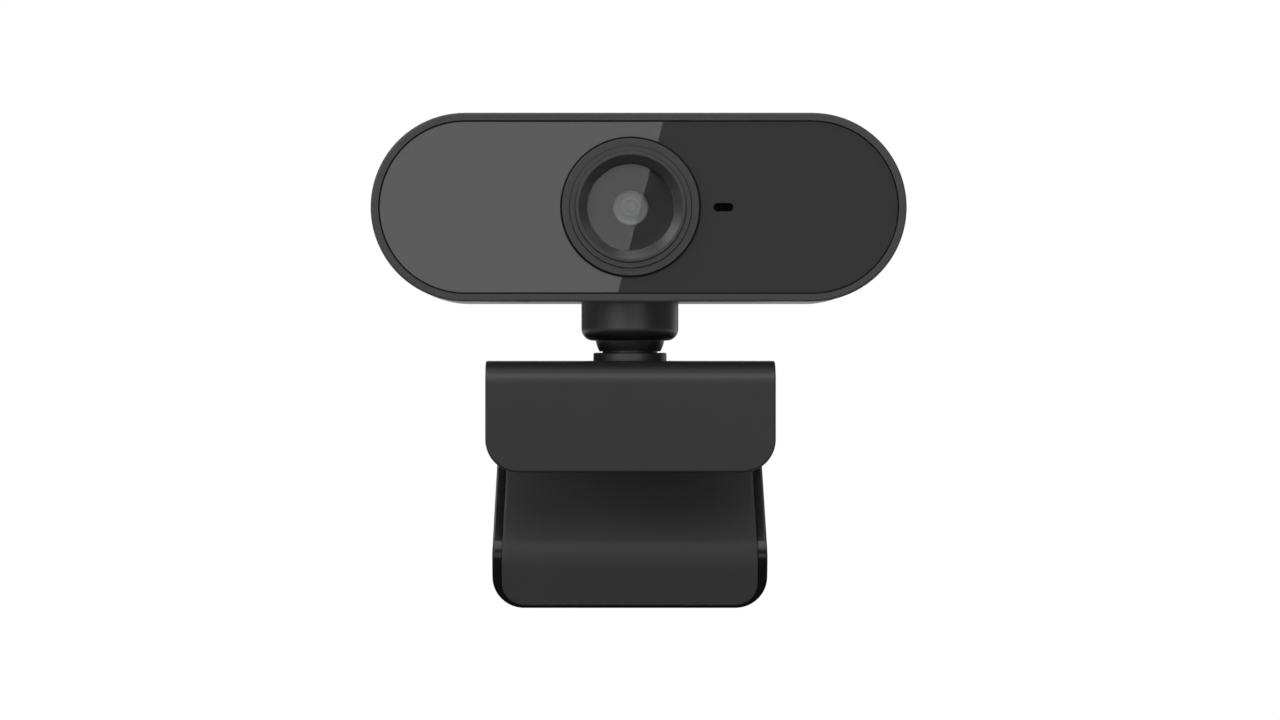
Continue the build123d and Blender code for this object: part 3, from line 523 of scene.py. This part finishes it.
def make_mic_gasket():
    """The rubber tube that leads sound in: waisted, beaded at each end, with a dust screen."""
    low, high = place("mic_gasket")
    centre = Vector(((low.x + high.x) / 2, low.y, (low.z + high.z) / 2))
    profile = [
        (0.0, 0.9), (0.5, 0.88), (0.6, 0.8), (0.6, 0.3), (0.7, 0.08), (0.9, 0.0),
        (2.15, 0.0), (2.33, 0.08), (2.4, 0.3), (2.4, 0.9),
        (2.3, 1.1), (2.1, 1.3), (2.1, 3.5), (2.3, 3.7), (2.4, 3.9), (2.4, 4.5), (2.33, 4.72),
        (2.15, 4.8), (0.9, 4.8), (0.7, 4.72), (0.6, 4.5), (0.6, 1.3), (0.5, 1.22), (0.0, 1.2),
    ]
    gasket = turned("rubber_mic_gasket", centre, profile, closed=False)
    finish_piece(gasket, "head", "grommet_rubber", bush_rubber, "mic_gasket")


def make_lens_face():
    """The front lens as it looks through its coats: shallow rings about a small dome, in a light
    grey that is painted reflection.
    """
    front_y = place("front_lens_element")[0].y
    centre = Vector((lens_centre.x, front_y, lens_centre.z))
    profile = [
        (0.0, 0.0), (0.3, 0.006), (0.5, 0.02), (0.58, 0.08), (0.7, 0.09), (1.02, 0.09),
        (1.1, 0.03), (1.18, 0.015), (1.28, 0.03), (1.36, 0.09), (1.6, 0.1), (1.9, 0.09),
        (2.3, 0.06), (2.36, 0.02), (2.42, 0.0), (2.62, 0.0), (2.68, 0.02), (2.7, 0.06),
        (2.7, 0.5), (2.3, 0.9), (1.5, 1.18), (0.8, 1.28), (0.0, 1.3),
    ]
    face = turned("ringed_front_lens", centre, profile, closed=False)
    finish_piece(face, "head", "optical_glass", lens_painted_reflection, "front_lens_element")


make_pads()
make_grommet()
make_mic_gasket()
make_lens_face()


# ---------------------------------------------------------------- studio
LAMP_DISTANCE = 1.2             # metres from the part's middle
LAMP_SIZE = 0.6
# Most of these watts were fitted in scratch to this view's balance of greys, and rounded.
LAMPS = (                       # name, azimuth from the camera's side, elevation, watts
    ("top_softbox", 0, 89, 2.7),
    ("high_left_softbox", -60, 75, 1.3),
    ("high_right_softbox", 60, 75, 0.5),
    ("side_left_softbox", -90, 35, 1.4),
    ("left_key_softbox", -70, 35, 3.7),
    ("left_fill_softbox", -40, 35, 0.45),
    ("key_softbox", -20, 35, 1.7),
    ("middle_softbox", 0, 35, 1.2),
    ("right_key_softbox", 20, 35, 1.6),
    ("right_fill_softbox", 40, 35, 1.4),
    ("side_right_softbox", 70, 35, 0.9),
    ("low_side_softbox", -70, 10, 0.35),
    ("low_left_softbox", -40, 10, 0.95),
    ("low_key_softbox", -20, 10, 0.66),
    ("low_right_softbox", 20, 10, 0.54),
    ("under_left_softbox", -20, -10, 0.74),
    ("under_middle_softbox", 0, -10, 1.64),
    ("under_right_softbox", 20, -10, 0.53),
    ("rear_right_softbox", 140, 10, 0.84),
    ("rear_top_softbox", 180, 50, 1.2),
)


def make_lamp(name, azimuth, elevation, watts):
    """A square softbox that faces the part's middle."""
    data = bpy.data.lights.new(name, "AREA")
    data.shape = "RECTANGLE"
    data.size = LAMP_SIZE
    data.size_y = LAMP_SIZE
    data.energy = watts
    turn, rise = math.radians(azimuth), math.radians(elevation)
    towards = Vector((
        math.sin(turn) * math.cos(rise), -math.cos(turn) * math.cos(rise), math.sin(rise)
    ))
    middle = (part_low + part_high) / 2
    lamp = bpy.data.objects.new(name, data)
    lamp.location = middle + LAMP_DISTANCE * towards
    aim = middle - lamp.location
    lamp.rotation_euler = aim.to_track_quat("-Z", "Y").to_euler()
    bpy.context.scene.collection.objects.link(lamp)


for lamp_row in LAMPS:
    make_lamp(*lamp_row)


WHITE = colour("#ffffff")
ROOM_LEVEL = 0.08               # the dark room round the part, where 1 is white
CARD_LEVEL = 0.87
CARD_Y = rim_y - CAMERA_DISTANCE
FLAG_Y = CARD_Y - 4 * MM        # the flag stands behind the card
PANEL_CARD_LEFT = -44.0         # on the panel, in mm, where the lit card is to show
PANEL_CARD_TOP = (5.4, 42.4)
PANEL_CARD_LOW = (-2.55, 12.4)
PANEL_FLAG_LOW = (-38.5, 13.5)
PANEL_FLAG_HIGH = (41.0, 41.5)
FRONT_CARD = (-260 * MM, 60 * MM, -140 * MM, 20 * MM)   # left, right, low, high
FLOOR_FLAG = (260 * MM, -420 * MM, 60 * MM)             # half width, front, back
FLOOR_FLAG_DROP = 24 * MM
TENT = (1.6, 0.3, -2.0, 1.19, 2.4, -1.0)    # metres: half width, gap, front, back, top, bottom


def glow_material(name, level):
    """The even glow of a card or a cloth, from 0 for black to 1 for white."""
    made, tree, out = new_material(name)
    glow = add(tree, "ShaderNodeEmission", None, {"Color": WHITE, "Strength": level})
    tree.links.new(glow.outputs["Emission"], out.inputs["Surface"])
    return made


def make_card(name, corners, finish):
    """A flat card with the given corners, for mirrored rays and for rays that left glass."""
    deselect()
    bpy.ops.mesh.primitive_plane_add(size=1)
    card = bpy.context.object
    card.name = name
    for vertex, corner in zip(card.data.vertices, corners):
        vertex.co = corner
    card.data.materials.append(finish)
    for ray in ("camera", "diffuse", "volume_scatter", "shadow"):
        setattr(card, "visible_" + ray, False)


def mirrored(x_mm, z_mm):
    """Where a ray that leaves the lens and meets the panel at (x, z) comes back to its plane."""
    return 2 * x_mm * MM - CAMERA_X, 2 * z_mm * MM - CAMERA_Z


def upright(y, left, right, low, high):
    """The corners of an upright card that faces along Y."""
    return [(left, y, low), (right, y, low), (left, y, high), (right, y, high)]


def make_panel_card():
    """The lit card whose edge crosses the panel as a slanting line."""
    top_x, top_z = mirrored(*PANEL_CARD_TOP)
    low_x, low_z = mirrored(*PANEL_CARD_LOW)
    left = mirrored(PANEL_CARD_LEFT, 0)[0]
    corners = [
        (left, CARD_Y, low_z), (low_x, CARD_Y, low_z), (left, CARD_Y, top_z), (top_x, CARD_Y, top_z)
    ]
    make_card("panel_card", corners, glow_material("lit_card", CARD_LEVEL))


def make_front_card():
    """A soft frontal reflection for the neck, kept below what the panel mirrors."""
    corners = upright(CARD_Y, *FRONT_CARD)
    make_card("front_card", corners, glow_material("lit_front_card", CARD_LEVEL))


def make_panel_flag():
    """A black flag behind the lit card: the panel mirrors it, and none of the low lamps."""
    left, low = mirrored(*PANEL_FLAG_LOW)
    right, high = mirrored(*PANEL_FLAG_HIGH)
    corners = upright(FLAG_Y, left, right, low, high)
    make_card("panel_flag", corners, glow_material("black_panel_flag", 0.0))


def make_floor_flag():
    """A black flag under the part, so that its lower faces don't mirror the white floor."""
    half, front, back = FLOOR_FLAG
    z = part_low.z - FLOOR_FLAG_DROP
    corners = [(-half, front, z), (half, front, z), (-half, back, z), (half, back, z)]
    make_card("floor_flag", corners, glow_material("black_flag", 0.0))


def make_tent():
    """Dark cloths round and above but for a gap behind: gloss shows the lamps and cards."""
    cloth = glow_material("dark_tent_cloth", ROOM_LEVEL)
    wide, gap, front, back, high, low = TENT
    make_card("tent_front", upright(front, -wide, wide, low, high), cloth)
    for side, x in (("left", -wide), ("right", wide)):
        corners = [(x, front, low), (x, back, low), (x, front, high), (x, back, high)]
        make_card("tent_" + side, corners, cloth)
    corners = [(-wide, front, high), (wide, front, high), (-wide, back, high), (wide, back, high)]
    make_card("tent_top", corners, cloth)
    make_card("tent_back_left", upright(back, -wide, -gap, low, high), cloth)
    make_card("tent_back_right", upright(back, gap, wide, low, high), cloth)


make_tent()
make_panel_card()
make_panel_flag()
make_front_card()
make_floor_flag()

FLOOR_DROP = 32 * MM            # the clip hangs from a screen's edge, so the floor is below it
SHADOW_INNER = 90 * MM          # the paper's shading fades out between these two distances
SHADOW_OUTER = 165 * MM
SHADOW_GLOW = 0.35              # how much of the paper is plain white where the shadow lies
FLOOR_SIZE = (1.1, 2.4)         # metres
WALL_HEIGHT = 2.5


def seen_rays(tree, camera_share=1.0):
    """1 for mirrored and refracted rays, and a share for the camera's: they see the background."""
    path = add(tree, "ShaderNodeLightPath").outputs
    camera = add(tree, "ShaderNodeMath", {"operation": "MULTIPLY"}, {
        0: path["Is Camera Ray"], 1: camera_share,
    })
    seen = add(tree, "ShaderNodeMath", {"operation": "MAXIMUM"}, {
        0: camera.outputs[0], 1: path["Is Glossy Ray"],
    })
    seen = add(tree, "ShaderNodeMath", {"operation": "MAXIMUM"}, {
        0: seen.outputs[0], 1: path["Is Transmission Ray"],
    })
    return seen.outputs[0]


def white_backdrop_material():
    """Matt white paper: it keeps the part's soft shadow near the part, and is white beyond."""
    made, tree, out = new_material("white_paper_sweep")
    coords = add(tree, "ShaderNodeTexCoord").outputs["Object"]
    distance = add(tree, "ShaderNodeVectorMath", {"operation": "LENGTH"}, {0: coords})
    glowing = add(tree, "ShaderNodeMapRange", {"interpolation_type": "SMOOTHSTEP"}, {
        "Value": distance.outputs["Value"], "From Min": SHADOW_INNER, "From Max": SHADOW_OUTER,
        "To Min": SHADOW_GLOW, "To Max": 1.0,
    })
    seen = seen_rays(tree, glowing.outputs["Result"])
    paper = add(tree, "ShaderNodeBsdfDiffuse", None, {"Color": colour("#f2f2f2")})
    glow = add(tree, "ShaderNodeEmission", None, {"Color": WHITE, "Strength": 1.0})
    mixed = add(tree, "ShaderNodeMixShader", None, {
        0: seen, 1: paper.outputs["BSDF"], 2: glow.outputs["Emission"],
    })
    tree.links.new(mixed.outputs["Shader"], out.inputs["Surface"])
    return made


def make_sweep():
    """A floor with an upright wall behind it."""
    floor_z = part_low.z - FLOOR_DROP
    deselect()
    bpy.ops.mesh.primitive_plane_add(size=1, location=(0, 0, floor_z))
    sweep = bpy.context.object
    sweep.name = "floor_sweep"
    sweep.scale = (*FLOOR_SIZE, 1.0)
    bpy.ops.object.transform_apply(location=True, rotation=True, scale=True)
    bpy.ops.object.mode_set(mode="EDIT")
    bpy.ops.mesh.select_mode(type="EDGE")
    bpy.ops.mesh.select_all(action="DESELECT")
    edit = bmesh.from_edit_mesh(sweep.data)
    for edge in edit.edges:
        edge.select = all(corner.co.y > 0 for corner in edge.verts)
    bmesh.update_edit_mesh(sweep.data)
    bpy.ops.mesh.extrude_region_move(TRANSFORM_OT_translate={"value": (0, 0, WALL_HEIGHT)})
    bpy.ops.object.mode_set(mode="OBJECT")
    sweep.data.materials.append(white_backdrop_material())


make_sweep()


def make_world():
    """A white world for the camera, for mirrors and for glass, and a dim one for the rest."""
    world = bpy.data.worlds.new("studio_room")
    bpy.context.scene.world = world
    world.use_nodes = True
    tree = world.node_tree
    tree.nodes.clear()
    out = tree.nodes.new("ShaderNodeOutputWorld")
    seen = seen_rays(tree)
    room = add(tree, "ShaderNodeBackground", None, {"Color": WHITE, "Strength": ROOM_LEVEL})
    white = add(tree, "ShaderNodeBackground", None, {"Color": WHITE, "Strength": 1.0})
    mixed = add(tree, "ShaderNodeMixShader", None, {
        0: seen, 1: room.outputs["Background"], 2: white.outputs["Background"],
    })
    tree.links.new(mixed.outputs["Shader"], out.inputs["Surface"])


make_world()
